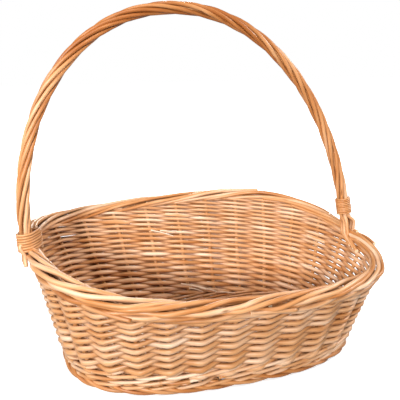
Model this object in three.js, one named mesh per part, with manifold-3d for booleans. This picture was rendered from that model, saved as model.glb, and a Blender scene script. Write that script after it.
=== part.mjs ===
// Oval willow basket with a raised back rim and a fixed, twisted bow handle.
// Millimetres, +Z up, the long side along X, the raised back towards +Y.
import * as THREE from 'three';
import { mergeVertices } from 'three/addons/utils/BufferGeometryUtils.js';
import Module from 'manifold-3d';

const wasm = await Module();
wasm.setup();

// Outline of the rim and of the base, both to the middle of the side stakes
const rimHalfLength = 250;
const rimHalfWidth = 199;
const baseHalfLength = 211;
const baseHalfWidth = 134;
const ovalSquareness = 2.55; // 2 is an ellipse, more is squarer
const baseShiftX = 11;
const baseShiftY = 12;
const flareHeight = 160; // the height at which the flared wall has the rim's outline

// How far the hand-made rim is out of round
const rimSkew = -9;
const rimWobble = 5.6;
const rimWobbleAt = THREE.MathUtils.degToRad(-10);

// Height of the rim: low at the front, high at the back, the ends between them
const rimMeanHeight = 168;
const rimBackRise = 25.5;
const rimLeftRise = 6.5;
const rimEndRise = 4;
const rimDiagonalRise = 7.5;
const rimDip = 5.2;
const rimDipAt = THREE.MathUtils.degToRad(51);

// Side stakes
const stakeCount = 28;
const stakeRadius = 2.6;
const stakeStart = 0.5; // along the outline from the left end to the first stake
const stakeCrowding = 14.6; // how far the stakes are drawn together along the front
const stakeEndCrowding = 5.3; // and towards both ends

// Woven courses, each going in front of one stake and behind the next
const courseHeight = 14;
const courseThickness = 3.4;
const waleCourses = 2;
const leastCourseHeight = 3;
const leastCourseStations = 3; // a shorter stretch of a course is left out
const stationsPerStake = 2;

// Rolled rim border and foot border
const rimBorderHalfWidth = 11.8;
const rimBorderHalfHeight = 10;
const rimBorderSwell = 0.19; // share by which it is thicker at the front left and thinner opposite
const rimBorderSwellAt = THREE.MathUtils.degToRad(-139);
const rimBorderGroove = 0.2; // depth of the grooves between its rods, as a share of its half width
const footBorderHalfWidth = 12;
const footBorderFlat = 10; // half the width of the flat resting face
const footBorderHeight = 20;

// Each stake's end is laid down outside the wall and rolls over the rim to the inside, so that
// seven lie side by side in the border. Degrees of one round the border, at each stake it passes.
const borderRoll = [-88, -48, -14, 22, 72, 130, 190];

// Base: three long sticks through pierced cross sticks, in a woven plate
const baseLift = 8.7; // from the ground to the underside of the plate
const baseThickness = 9.6;
const longStickCount = 3;
const longStickRadius = 2;
const crossStickCount = 5;
const crossStickRadius = 3.5;
const crossStickSpacing = 36;

// Bow handle
const bowTopHeight = 513;
const bowSquareness = 2.08;
const bowSkew = -36;
const bowLean = 9;
const bowLeftFootAt = 0.02; // place on the rim, in stakes from the left end
const bowRightFootAt = 14.74;
const bowLeftFootOut = 6; // from the middle of the border
const bowRightFootOut = -5;
const bowRodRadius = 2.7;
const bowRodCount = 6;
const bowTurns = 4;
const insideTail = 46; // how far the rods go down inside the rim
const outsideTail = 30; // how far the rods go down outside the rim
const rightTailDrift = 0.3; // how far the right inside tails slant forwards, in stakes
const tailSpread = 7.4; // between the three rods side by side

// Cane lashing at each foot of the handle
const caneRadius = 1.15;
const lashingLoops = 8;
const lashingPitch = 2.9;
const leftLashingStart = 20; // above the middle of the rim border
const rightLashingStart = 30;

// Clearance between pieces that touch, and of the woven strips to the stakes they pass
const fit = 0.3;
const weaveFit = 0.7;

// Facets of the rods and sticks
const rodSideCount = 6;
const stickSideCount = 8;
const bowStepCount = 12; // in one turn of the handle's rods
const loopStepCount = 24; // in one turn of the lashing

// What follows from the dimensions above
const weaveReach = stakeRadius + courseThickness / 2 + weaveFit;
const weaveHalfThickness = weaveReach + courseThickness / 2;
const courseStart = footBorderHeight + fit;
const bowRodRing = bowRodRadius * 2 + 3 * fit;
const bowCoreRadius = bowRodRing * Math.cos(Math.PI / bowStepCount) - bowRodRadius - fit;

const willowSide = { color: 0xdfa56c, roughness: 0.55 };
const willowBorder = { color: 0xe6ac72, roughness: 0.5 };
const willowStake = { color: 0xd2955c, roughness: 0.6 };
const willowHandle = { color: 0xd08a52, roughness: 0.5 };
const willowBase = { color: 0xcf9a66, roughness: 0.65 };
const lashingCane = { color: 0xb87a4a, roughness: 0.55 };

const basket = new THREE.Group();

function addPiece(name, geometry, finish) {
  const material = new THREE.MeshStandardMaterial({ ...finish, metalness: 0 });
  const mesh = new THREE.Mesh(geometry, material);
  mesh.name = name;
  basket.add(mesh);
}

// Surfaces of the basket

function ovalPoint(angle, halfLength, halfWidth) {
  const power = 2 / ovalSquareness;
  const c = Math.cos(angle);
  const s = Math.sin(angle);
  return new THREE.Vector2(
    halfLength * Math.sign(c) * Math.abs(c) ** power,
    halfWidth * Math.sign(s) * Math.abs(s) ** power,
  );
}

function outlinePoint(angle, z) {
  const rim = ovalPoint(angle, rimHalfLength, rimHalfWidth);
  const outOfRound = rimSkew * Math.sin(2 * angle) + rimWobble * Math.cos(3 * (angle - rimWobbleAt));
  rim.x += outOfRound * Math.cos(angle);
  rim.y += outOfRound * Math.sin(angle);
  const base = ovalPoint(angle, baseHalfLength, baseHalfWidth);
  base.add(new THREE.Vector2(baseShiftX, baseShiftY));
  return base.lerp(rim, z / flareHeight);
}

function outwardNormal(angle, z) {
  const step = 0.01;
  const along = outlinePoint(angle + step, z).sub(outlinePoint(angle - step, z));
  return new THREE.Vector2(along.y, -along.x).normalize();
}

function wallPoint(angle, z, out) {
  const point = outlinePoint(angle, z).addScaledVector(outwardNormal(angle, z), out);
  return new THREE.Vector3(point.x, point.y, z);
}

function rimHeight(angle) {
  return rimMeanHeight
    + rimBackRise * Math.sin(angle)
    - rimLeftRise * Math.cos(angle)
    + rimEndRise * Math.cos(2 * angle)
    + rimDiagonalRise * Math.sin(2 * angle)
    + rimDip * Math.cos(3 * (angle - rimDipAt));
}

// Even spacing along the outline, from the left end round the front
const outlineSteps = 720;
const outlineLengths = [0];
for (let i = 1; i <= outlineSteps; i += 1) {
  const from = outlinePoint(-Math.PI + (2 * Math.PI * (i - 1)) / outlineSteps, flareHeight / 2);
  const to = outlinePoint(-Math.PI + (2 * Math.PI * i) / outlineSteps, flareHeight / 2);
  outlineLengths.push(outlineLengths[i - 1] + from.distanceTo(to));
}
const outlineLength = outlineLengths[outlineSteps];

function angleAtLength(length) {
  const wanted = THREE.MathUtils.euclideanModulo(length, outlineLength);
  const i = outlineLengths.findIndex((reached) => reached > wanted);
  const part = (wanted - outlineLengths[i - 1]) / (outlineLengths[i] - outlineLengths[i - 1]);
  return -Math.PI + (2 * Math.PI * (i - 1 + part)) / outlineSteps;
}

// Angle of a stake, or of a place between two stakes when the number is not whole
function stakeAngle(number) {
  const share = number / stakeCount;
  const crowding = stakeCrowding * (1 - Math.cos(2 * Math.PI * share));
  const endCrowding = stakeEndCrowding * (1 - Math.cos(4 * Math.PI * share));
  return angleAtLength(stakeStart + outlineLength * share - crowding - endCrowding);
}

// Bodies

function signedVolume(points, faces) {
  let volume = 0;
  for (const [a, b, c] of faces) {
    volume += points[a].dot(new THREE.Vector3().crossVectors(points[b], points[c])) / 6;
  }
  return volume;
}

function bodyFrom(points, faces) {
  const inward = signedVolume(points, faces) < 0;
  const indices = faces.flatMap(([a, b, c]) => (inward ? [a, c, b] : [a, b, c]));
  const geometry = new THREE.BufferGeometry().setFromPoints(points);
  geometry.setIndex(indices);
  geometry.computeVertexNormals();
  return geometry;
}

// Joins rings of points in order, either round in a loop or with a cap at each end
function loft(rings, isLoop) {
  const count = rings[0].length;
  const points = rings.flat();
  const faces = [];
  const spans = isLoop ? rings.length : rings.length - 1;
  for (let i = 0; i < spans; i += 1) {
    const next = (i + 1) % rings.length;
    for (let j = 0; j < count; j += 1) {
      const k = (j + 1) % count;
      faces.push([i * count + j, i * count + k, next * count + k]);
      faces.push([i * count + j, next * count + k, next * count + j]);
    }
  }
  if (!isLoop) {
    const last = (rings.length - 1) * count;
    for (let j = 1; j < count - 1; j += 1) {
      faces.push([0, j + 1, j]);
      faces.push([last, last + j, last + j + 1]);
    }
  }
  return bodyFrom(points, faces);
}

// A round section of a rod, across two directions
function rodRing(centre, across, up, radius) {
  const ring = [];
  for (let i = 0; i < rodSideCount; i += 1) {
    const angle = (2 * Math.PI * i) / rodSideCount;
    const point = centre.clone().addScaledVector(across, radius * Math.cos(angle));
    ring.push(point.addScaledVector(up, radius * Math.sin(angle)));
  }
  return ring;
}

function toSolid(geometry) {
  const bare = geometry.clone();
  bare.deleteAttribute('normal');
  bare.deleteAttribute('uv');
  const merged = mergeVertices(bare);
  return new wasm.Manifold(new wasm.Mesh({
    numProp: 3,
    vertProperties: new Float32Array(merged.attributes.position.array),
    triVerts: new Uint32Array(merged.index.array),
  }));
}

function fromSolid(solid) {
  const mesh = solid.getMesh();
  const geometry = new THREE.BufferGeometry();
  geometry.setAttribute('position', new THREE.BufferAttribute(mesh.vertProperties, 3));
  geometry.setIndex(new THREE.BufferAttribute(mesh.triVerts, 1));
  geometry.computeVertexNormals();
  return geometry;
}

function rimBorderScale(angle) {
  return 1 + rimBorderSwell * Math.cos(angle - rimBorderSwellAt);
}

// Angle round the border of a rod that has passed a number of stakes since its own
function borderRollAngle(passed) {
  const stake = Math.floor(passed);
  const [before, after] = [stake, stake + 1].map((at) => {
    const lap = Math.floor(at / borderRoll.length);
    return borderRoll[at - lap * borderRoll.length] + 360 * lap;
  });
  return THREE.MathUtils.degToRad(THREE.MathUtils.lerp(before, after, passed - stake));
}

function borderPoint(number, turn, size) {
  const angle = stakeAngle(number);
  const scale = size * rimBorderScale(angle);
  const point = wallPoint(angle, rimHeight(angle), scale * rimBorderHalfWidth * Math.cos(turn));
  point.z += scale * rimBorderHalfHeight * Math.sin(turn);
  return point;
}

// Rim border: one ring along the tilted rim, with its rods as rounded ribs that roll over it.
// From each rod's crest to the next there are two shoulders with a groove between them.
function makeRimBorder() {
  const stepsPerStake = 4;
  const shoulder = 0.22;
  const rings = [];
  for (let i = 0; i < stakeCount * stepsPerStake; i += 1) {
    const number = i / stepsPerStake;
    const ring = [];
    for (let j = 0; j < borderRoll.length; j += 1) {
      const rod = borderRollAngle(number + j);
      const next = borderRollAngle(number + j + 1);
      ring.push(borderPoint(number, THREE.MathUtils.lerp(rod, next, shoulder), 1));
      ring.push(borderPoint(number, THREE.MathUtils.lerp(rod, next, 0.5), 1 - rimBorderGroove));
      ring.push(borderPoint(number, THREE.MathUtils.lerp(rod, next, 1 - shoulder), 1));
    }
    rings.push(ring);
  }
  return loft(rings, true);
}

// Foot border: a rolled ring under the wall, cut flat where it stands
const footBorderSection = [
  [-footBorderFlat, 0],
  [footBorderFlat, 0],
  [footBorderHalfWidth, footBorderHeight / 2],
  [footBorderFlat, footBorderHeight],
  [-footBorderFlat, footBorderHeight],
  [-footBorderHalfWidth, footBorderHeight / 2],
];

function makeFootBorder() {
  const stepsPerStake = 2;
  const rings = [];
  for (let i = 0; i < stakeCount * stepsPerStake; i += 1) {
    const angle = stakeAngle(i / stepsPerStake);
    rings.push(footBorderSection.map(([out, z]) => {
      const point = wallPoint(angle, footBorderHeight, out);
      point.z = z;
      return point;
    }));
  }
  return loft(rings, true);
}

// Side stakes, from the foot border up to the underside of the rim border
function wallTop(angle) {
  return rimHeight(angle) - rimBorderScale(angle) * rimBorderHalfHeight - 2 * fit;
}

function makeStake(number) {
  const angle = stakeAngle(number);
  const steps = 3;
  const rings = [];
  for (let i = 0; i <= steps; i += 1) {
    const z = THREE.MathUtils.lerp(courseStart, wallTop(angle), i / steps);
    const out = outwardNormal(angle, z);
    const across = new THREE.Vector3(out.x, out.y, 0);
    const along = new THREE.Vector3(-out.y, out.x, 0);
    rings.push(rodRing(wallPoint(angle, z, 0), across, along, stakeRadius));
  }
  return loft(rings, false);
}

// One woven course: a strip that is outside one stake and inside the next.
// Under the tilted rim it is cut short, and it stops where the rim comes down to it.
function makeCourse(number) {
  const bottom = courseStart + number * courseHeight;
  const fullTop = bottom + courseHeight - fit;
  const stations = [];
  for (let i = 0; i < stakeCount * stationsPerStake; i += 1) {
    const angle = stakeAngle(i / stationsPerStake);
    const top = Math.min(fullTop, wallTop(angle));
    const side = Math.cos(Math.PI * (i / stationsPerStake + number));
    stations.push({ angle, top, out: weaveReach * side, holds: top - bottom >= leastCourseHeight });
  }
  const run = longestRun(stations);
  if (run.length === 0) {
    return null;
  }
  const rings = run.map(({ angle, top, out }) => [
    wallPoint(angle, bottom, out - courseThickness / 2),
    wallPoint(angle, bottom, out + courseThickness / 2),
    wallPoint(angle, top, out + courseThickness / 2),
    wallPoint(angle, top, out - courseThickness / 2),
  ]);
  return loft(rings, run.length === stations.length);
}

// The longest stretch of stations that hold, going round past the last one to the first
function longestRun(stations) {
  if (stations.every((station) => station.holds)) {
    return stations;
  }
  let longest = [];
  let current = [];
  for (const station of [...stations, ...stations]) {
    current = station.holds ? [...current, station] : [];
    if (current.length > longest.length) {
      longest = current;
    }
  }
  return longest.length >= leastCourseStations ? longest : [];
}

// Base plate, cross sticks and long sticks
const stickLevel = baseLift + baseThickness / 2;

function makePlateBody() {
  const inset = -(footBorderHalfWidth + fit);
  const edge = [];
  for (let i = 0; i < stakeCount * stationsPerStake; i += 1) {
    const point = wallPoint(stakeAngle(i / stationsPerStake), footBorderHeight, inset);
    edge.push(point.setZ(baseLift));
  }
  const topEdge = edge.map((point) => point.clone().setZ(baseLift + baseThickness));
  return toSolid(loft([edge, topEdge], false));
}

// A stick across the whole basket, which is then cut to the plate
function stickBody(radius, isLong, offset) {
  const length = 2 * (isLong ? rimHalfLength : rimHalfWidth);
  const stick = new THREE.CylinderGeometry(radius, radius, length, stickSideCount);
  stick.rotateY(Math.PI / stickSideCount);
  if (isLong) {
    stick.rotateZ(Math.PI / 2);
    stick.translate(baseShiftX, baseShiftY + offset, stickLevel);
  } else {
    stick.translate(baseShiftX + offset, baseShiftY, stickLevel);
  }
  return toSolid(stick);
}

function slotBody() {
  const spacing = 2 * (longStickRadius + fit);
  const slot = new THREE.BoxGeometry(2 * rimHalfLength, longStickCount * spacing, spacing);
  slot.translate(baseShiftX, baseShiftY, stickLevel);
  return toSolid(slot);
}

function addBase() {
  const plate = makePlateBody();
  const slot = slotBody();
  const spacing = 2 * (longStickRadius + fit);
  for (let i = 0; i < longStickCount; i += 1) {
    const offset = (i - (longStickCount - 1) / 2) * spacing;
    const stick = stickBody(longStickRadius, true, offset).intersect(plate);
    addPiece(`base_long_stick_${i + 1}`, fromSolid(stick), willowBase);
  }
  let weave = plate.subtract(slot);
  for (let i = 0; i < crossStickCount; i += 1) {
    const offset = (i - (crossStickCount - 1) / 2) * crossStickSpacing;
    const stick = stickBody(crossStickRadius, false, offset).intersect(plate).subtract(slot);
    addPiece(`base_cross_stick_${i + 1}`, fromSolid(stick), willowBase);
    weave = weave.subtract(stickBody(crossStickRadius + fit, false, offset));
  }
  addPiece('base_weave', fromSolid(weave), willowSide);
}

// Middle line of the bow handle, from the left border over the top to the right one
const leftFoot = rimPoint(bowLeftFootAt, bowLeftFootOut);
const rightFoot = rimPoint(bowRightFootAt, bowRightFootOut);

function rimPoint(number, out) {
  const angle = stakeAngle(number);
  return wallPoint(angle, rimHeight(angle), out);
}

// How steeply the rim climbs along its length at a place
function rimSlope(number) {
  const step = 0.1;
  const rise = rimPoint(number + step, 0).sub(rimPoint(number - step, 0));
  return Math.abs(rise.z) / Math.hypot(rise.x, rise.y);
}

function archPoint(turn) {
  const power = 2 / bowSquareness;
  const along = Math.sign(Math.cos(turn)) * Math.abs(Math.cos(turn)) ** power;
  const rise = Math.abs(Math.sin(turn)) ** power;
  const point = leftFoot.clone().lerp(rightFoot, (1 - along) / 2);
  point.x += bowSkew * rise;
  point.y += bowLean * rise;
  point.z += (bowTopHeight - point.z) * rise;
  return point;
}

function makeBowLine() {
  const points = [];
  const steps = 24;
  for (let i = 0; i <= steps; i += 1) {
    points.push(archPoint((Math.PI * i) / steps));
  }
  const line = new THREE.CatmullRomCurve3(points, false, 'centripetal');
  line.arcLengthDivisions = 2000;
  return line;
}

const bowLine = makeBowLine();
const bowLength = bowLine.getLength();

// Place on the bow at a length along it, with the directions to its inside and to the back
function bowFrame(length) {
  const share = length / bowLength;
  const point = bowLine.getPointAt(share);
  const ahead = bowLine.getTangentAt(share);
  const back = new THREE.Vector3(0, 1, 0);
  back.addScaledVector(ahead, -back.dot(ahead)).normalize();
  const inward = new THREE.Vector3().crossVectors(back, ahead);
  return { point, inward, back };
}

// How far over the middle of the sloping border the bow's middle rod stands on it
function coreSeat(footAt) {
  const borderTop = rimBorderScale(stakeAngle(footAt)) * rimBorderHalfHeight;
  return borderTop + 3 * fit + bowCoreRadius * rimSlope(footAt);
}

// The bow's thick middle rod, which stands on the border at both ends
function makeBowCore() {
  const steps = 40;
  const start = coreSeat(bowLeftFootAt);
  const end = bowLength - coreSeat(bowRightFootAt);
  const rings = [];
  for (let i = 0; i <= steps; i += 1) {
    const { point, inward, back } = bowFrame(THREE.MathUtils.lerp(start, end, i / steps));
    rings.push(rodRing(point, inward, back, bowCoreRadius));
  }
  return loft(rings, false);
}

// Where the rods pass the border: heights over its middle, and the distance from it there.
// They lie against the wall below it, go past its side, and close up above it.
function tailStations(footAt, footOut, tail) {
  const scale = rimBorderScale(stakeAngle(footAt));
  const borderSide = scale * rimBorderHalfHeight * Math.tan(Math.PI / 8);
  const besideBorder = scale * rimBorderHalfWidth + bowRodRadius + 2 * fit;
  const besideWall = weaveHalfThickness + bowRodRadius + 2 * fit;
  const wallHeight = -scale * rimBorderHalfHeight - besideWall;
  const besideCore = Math.abs(footOut) + bowRodRing + 4 * fit;
  return [
    { height: Math.min(-tail, wallHeight - bowRodRadius), reach: besideWall, isOnWall: true },
    { height: wallHeight, reach: besideWall, isOnWall: true },
    { height: -borderSide, reach: besideBorder, isOnWall: false },
    { height: borderSide, reach: besideBorder, isOnWall: false },
    { height: scale * rimBorderHalfHeight, reach: besideCore, isOnWall: false },
  ];
}

function tailRing(footAt, station, side, sideways) {
  const isRight = footAt === bowRightFootAt;
  const shift = (sideways * stakeCount) / outlineLength;
  const drift = isRight && station.isOnWall && side > 0 ? rightTailDrift : 0;
  const angle = stakeAngle(isRight ? footAt + shift - drift : footAt - shift);
  const z = rimHeight(angle) + station.height;
  const middle = wallPoint(angle, station.isOnWall ? z : rimHeight(angle), -side * station.reach);
  const normal = outwardNormal(angle, z);
  const inward = new THREE.Vector3(-normal.x, -normal.y, 0);
  const back = new THREE.Vector3(-normal.y, normal.x, 0).multiplyScalar(isRight ? 1 : -1);
  return rodRing(middle.setZ(z), inward, back, bowRodRadius);
}

// One of the rods twisted round the bow. Below the lashing the rods part:
// three go down inside the border and three outside it.
function makeBowRod(number) {
  const phase = (2 * Math.PI * number) / bowRodCount;
  const side = Math.sign(Math.cos(phase));
  const sideways = tailSpread * Math.round(Math.sin(phase) / Math.sin(Math.PI / 3));
  const tail = side > 0 ? insideTail : outsideTail;
  const rings = tailStations(bowLeftFootAt, bowLeftFootOut, tail)
    .map((station) => tailRing(bowLeftFootAt, station, side, sideways));
  const steps = bowTurns * bowStepCount;
  const twistEnd = bowLength - rightLashingStart;
  for (let i = 0; i <= steps; i += 1) {
    const { point, inward, back } = bowFrame(THREE.MathUtils.lerp(leftLashingStart, twistEnd, i / steps));
    const turn = phase + (2 * Math.PI * i) / bowStepCount;
    point.addScaledVector(inward, bowRodRing * Math.cos(turn));
    point.addScaledVector(back, bowRodRing * Math.sin(turn));
    rings.push(rodRing(point, inward, back, bowRodRadius));
  }
  rings.push(...tailStations(bowRightFootAt, bowRightFootOut, tail).reverse()
    .map((station) => tailRing(bowRightFootAt, station, side, sideways)));
  return loft(rings, false);
}

// Cane lashing: one unbroken winding round the handle rods, with straight ends
function makeLashing(isRight) {
  const reach = bowRodRing + bowRodRadius + fit + caneRadius;
  const start = caneRadius + (isRight ? rightLashingStart : leftLashingStart);
  const places = [];
  for (let i = 0; i <= lashingLoops * loopStepCount; i += 1) {
    const height = start + (lashingPitch * i) / loopStepCount;
    const { point, inward, back } = bowFrame(isRight ? bowLength - height : height);
    const turn = (2 * Math.PI * i) / loopStepCount;
    const out = inward.multiplyScalar(Math.cos(turn)).addScaledVector(back, Math.sin(turn));
    places.push({ middle: point.addScaledVector(out, reach), out });
  }
  places.unshift(straightEnd(places[0], places[1]));
  places.push(straightEnd(places.at(-1), places.at(-2)));
  printLeastGap(isRight ? 'right' : 'left', places.map((place) => place.middle));
  const rings = places.map(({ middle, out }, i) => {
    const before = places[Math.max(i - 1, 0)].middle;
    const after = places[Math.min(i + 1, places.length - 1)].middle;
    const ahead = after.clone().sub(before).normalize();
    const across = out.clone().addScaledVector(ahead, -out.dot(ahead)).normalize();
    const up = new THREE.Vector3().crossVectors(ahead, across);
    return rodRing(middle, across, up, caneRadius);
  });
  return loft(rings, false);
}

function straightEnd(end, before) {
  const run = end.middle.clone().sub(before.middle).setLength(2 * caneRadius);
  return { middle: end.middle.clone().add(run), out: end.out };
}

function printLeastGap(side, middles) {
  let least = Infinity;
  for (let i = 0; i < middles.length; i += 1) {
    for (let j = i + Math.floor(loopStepCount / 2); j < middles.length; j += 1) {
      least = Math.min(least, middles[i].distanceTo(middles[j]) - 2 * caneRadius);
    }
  }
  console.log(`least gap between turns of the ${side} lashing: ${least.toFixed(2)} mm`);
}

// Assembly
addPiece('foot_border', makeFootBorder(), willowBorder);
addBase();
for (let i = 0; i < stakeCount; i += 1) {
  addPiece(`side_stake_${String(i + 1).padStart(2, '0')}`, makeStake(i), willowStake);
}
let courseNumber = 0;
let course = makeCourse(courseNumber);
while (course) {
  const isWale = courseNumber < waleCourses;
  const label = isWale ? 'upsett_wale' : 'siding_course';
  const number = isWale ? courseNumber + 1 : courseNumber + 1 - waleCourses;
  addPiece(`${label}_${String(number).padStart(2, '0')}`, course, willowSide);
  courseNumber += 1;
  course = makeCourse(courseNumber);
}
addPiece('rim_border', makeRimBorder(), willowBorder);
addPiece('handle_core', makeBowCore(), willowHandle);
for (let i = 0; i < bowRodCount; i += 1) {
  addPiece(`handle_rod_${i + 1}`, makeBowRod(i), willowHandle);
}
addPiece('lashing_left', makeLashing(false), lashingCane);
addPiece('lashing_right', makeLashing(true), lashingCane);

// The origin is on the ground under the middle of the whole basket
const middle = new THREE.Box3().setFromObject(basket).getCenter(new THREE.Vector3());
basket.position.set(-middle.x, -middle.y, 0);
basket.updateMatrixWorld(true);
console.log(`origin moved by ${(-middle.x).toFixed(3)}, ${(-middle.y).toFixed(3)} mm`);

export default basket;
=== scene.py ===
# Oval willow basket with a twisted bow handle. Every rod is swept as a mesh along a worked-out path.
import math

import bpy
import numpy as np
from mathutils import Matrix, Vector


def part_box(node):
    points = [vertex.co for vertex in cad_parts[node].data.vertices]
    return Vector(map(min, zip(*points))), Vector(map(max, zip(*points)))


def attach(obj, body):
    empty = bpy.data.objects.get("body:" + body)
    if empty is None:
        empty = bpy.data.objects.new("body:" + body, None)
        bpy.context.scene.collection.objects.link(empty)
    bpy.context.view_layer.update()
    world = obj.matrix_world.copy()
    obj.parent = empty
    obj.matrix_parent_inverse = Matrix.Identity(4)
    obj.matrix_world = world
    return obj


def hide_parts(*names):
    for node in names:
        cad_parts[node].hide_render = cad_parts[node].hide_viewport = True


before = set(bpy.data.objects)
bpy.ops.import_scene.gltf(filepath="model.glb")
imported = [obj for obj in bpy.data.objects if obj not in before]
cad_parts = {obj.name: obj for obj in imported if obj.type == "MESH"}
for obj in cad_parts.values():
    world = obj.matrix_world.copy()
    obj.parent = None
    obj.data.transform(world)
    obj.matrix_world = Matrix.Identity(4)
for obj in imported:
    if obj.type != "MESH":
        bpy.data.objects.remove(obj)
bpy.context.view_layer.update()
chance = np.random.default_rng(11)
print("frame loaded")

# The wall's outline and the rim's height, as in the part's source, in metres
wall = {
    "rimHalf": (0.250, 0.199),  # half the length and width
    "baseHalf": (0.211, 0.134),
    "baseShift": (0.011, 0.012),  # of the base's middle from the rim's
    "squareness": 2.55,  # 2 gives ellipses, more gives fuller corners
    "flareHeight": 0.160,  # where the outline has the rim's size
    "skew": -0.009,  # wave of two turns that pushes the rim out of round
    "wobble": 0.0056,  # and a wave of three turns
    "wobbleAt": math.radians(-10),
    "outlineStations": 721,
}
rim = {
    "mean": 0.168,
    "backRise": 0.0255,
    "leftRise": 0.0065,
    "endRise": 0.004,
    "diagonalRise": 0.0075,
    "dip": 0.0052,
    "dipAt": math.radians(51),
}
stake = {
    "count": 28,
    "frontMiddle": 5,  # stake in the middle of the front
    "radius": 0.0030,
    "start": 0.0005,  # of stake 0 from the left end
    "crowding": 0.0146,  # how far the stakes are drawn together at the front
    "endCrowding": 0.0053,  # and at both ends
    "bottom": 0.010,
    "topShare": 0.6,  # of half the border's height
    "wander": 0.0008,
    "wanderTurn": 9,  # in radians from bottom to top
    "spacing": 0.047,
    "stations": 24,
}
border = {
    "half": (0.0118, 0.010),  # half the rim border's width and height
    "swell": 0.19,  # share by which it is thicker at the front left
    "swellAt": math.radians(-139),
}
up = np.array([0.0, 0.0, 1.0])


def middleOf(node):
    low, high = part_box(node)
    return (low + high) / 2


# The base's middle, read from its sticks, gives the origin that the formulas count from
originX = middleOf("base_cross_stick_3").x - wall["baseShift"][0]
originY = middleOf("base_long_stick_2").y - wall["baseShift"][1]


def unit(vectors):
    return vectors / np.linalg.norm(vectors, axis=-1, keepdims=True)


def lengthsAlong(path):
    return np.concatenate([[0], np.cumsum(np.linalg.norm(np.diff(path, axis=0), axis=1))])


def randomPhase():
    # Where a wave starts, in radians
    return chance.uniform(0, 6.28)


def ovalPoint(angle, half):
    # Superellipse: signed powers of the cosine and the sine
    power = 2 / wall["squareness"]
    c, s = np.cos(angle), np.sin(angle)
    x = half[0] * np.sign(c) * np.abs(c) ** power
    y = half[1] * np.sign(s) * np.abs(s) ** power
    return np.stack([x, y], -1)


def outlinePoint(angle, z):
    # Straight up from the base's oval to the rim's, which two waves push out of round
    wobble = wall["wobble"] * np.cos(3 * (angle - wall["wobbleAt"]))
    outOfRound = wall["skew"] * np.sin(2 * angle) + wobble
    atRim = ovalPoint(angle, wall["rimHalf"])
    atRim = atRim + outOfRound[..., None] * np.stack([np.cos(angle), np.sin(angle)], -1)
    atBase = ovalPoint(angle, wall["baseHalf"]) + np.array(wall["baseShift"])
    share = (z / wall["flareHeight"])[..., None]
    return atBase + (atRim - atBase) * share + np.array([originX, originY])


def outwardNormal(angle, z):
    step = 0.01
    along = outlinePoint(angle + step, z) - outlinePoint(angle - step, z)
    return unit(np.stack([along[..., 1], -along[..., 0]], -1))


def rimHeight(angle):
    return (
        rim["mean"]
        + rim["backRise"] * np.sin(angle)
        - rim["leftRise"] * np.cos(angle)
        + rim["endRise"] * np.cos(2 * angle)
        + rim["diagonalRise"] * np.sin(2 * angle)
        + rim["dip"] * np.cos(3 * (angle - rim["dipAt"]))
    )


# Lengths along the outline at half height, from the left end round the front
outlineAngles = np.linspace(-math.pi, math.pi, wall["outlineStations"])
halfHeights = np.full(len(outlineAngles), wall["flareHeight"] / 2)
outlineLengths = lengthsAlong(outlinePoint(outlineAngles, halfHeights))
outlineLength = outlineLengths[-1]


def stakeAngle(number):
    # Angle of a stake, or of a place between two
    share = np.asarray(number, float) / stake["count"]
    crowding = stake["crowding"] * (1 - np.cos(2 * math.pi * share))
    crowding = crowding + stake["endCrowding"] * (1 - np.cos(4 * math.pi * share))
    length = stake["start"] + outlineLength * share - crowding
    laps = np.floor(length / outlineLength)
    return np.interp(length - laps * outlineLength, outlineLengths, outlineAngles) + 2 * math.pi * laps


def wallPoint(number, z, out, straightness=0.0):
    # Place on the wall; straightness 1 runs straight from stake to stake, 0 follows the oval
    number = np.asarray(number, float)
    z = np.broadcast_to(np.asarray(z, float), number.shape)
    angle = stakeAngle(number)
    before = np.floor(number)
    share = (number - before)[..., None]
    chord = outlinePoint(stakeAngle(before), z) * (1 - share)
    chord = chord + outlinePoint(stakeAngle(before + 1), z) * share
    flat = outlinePoint(angle, z) * (1 - straightness) + chord * straightness
    flat = flat + outwardNormal(angle, z) * np.asarray(out, float)[..., None]
    return np.concatenate([flat, z[..., None]], -1)


def wallOut(number, z):
    # Direction square to the wall: out of its outline, and down by as much as the wall flares
    angle = stakeAngle(number)
    z = np.broadcast_to(np.asarray(z, float), angle.shape)
    flat = outwardNormal(angle, z)
    rise = 0.01
    moved = outlinePoint(angle, z + rise) - outlinePoint(angle, z)
    flare = np.sum(moved * flat, -1, keepdims=True) / rise
    return unit(np.concatenate([flat, -flare], -1))


def besideWall(number, z, out, straightness=0.0):
    # Place at a distance square to the leaning wall
    onWall = wallPoint(number, z, 0.0, straightness)
    return onWall + wallOut(number, z) * np.asarray(out, float)[..., None]


def around(turn, first, second):
    # Directions at an angle from the first towards the second
    return first * np.cos(turn)[:, None] + second * np.sin(turn)[:, None]


def borderScale(number):
    return 1 + border["swell"] * np.cos(stakeAngle(number) - border["swellAt"])


def borderHalf(number):
    return np.array(border["half"])[:, None] * borderScale(number)


def wallTop(number):
    return rimHeight(stakeAngle(number)) - border["half"][1] * borderScale(number)


def frontness(number):
    # 1 at the middle of the front, -1 opposite
    return np.cos(2 * math.pi * (number - stake["frontMiddle"]) / stake["count"])


def softened(path, times):
    # Each point moves to the mean of itself and its neighbours, so bends are round
    for _ in range(times):
        path = np.concatenate([path[:1], (path[:-2] + 2 * path[1:-1] + path[2:]) / 4, path[-1:]])
    return path


# What all the rods share
rodShape = {
    "unevenness": 0.09,  # share by which a rod swells and thins
    "wavesPerMetre": (23, 61, 140),  # in radians, of the three waves of that
    "turnover": 3,  # how fast the open side changes
    "paintedShadePower": 1.3,  # above 1 it keeps the painted shade near the neighbours
    "grainSpread": 5,  # in metres, scatters the rods in the grain's noise
}


def roughRadius(path, radius, amount):
    length = lengthsAlong(path)
    waves = sum(np.sin(length * pitch + randomPhase()) for pitch in rodShape["wavesPerMetre"])
    return radius * (1 + amount * waves / len(rodShape["wavesPerMetre"]))


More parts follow.
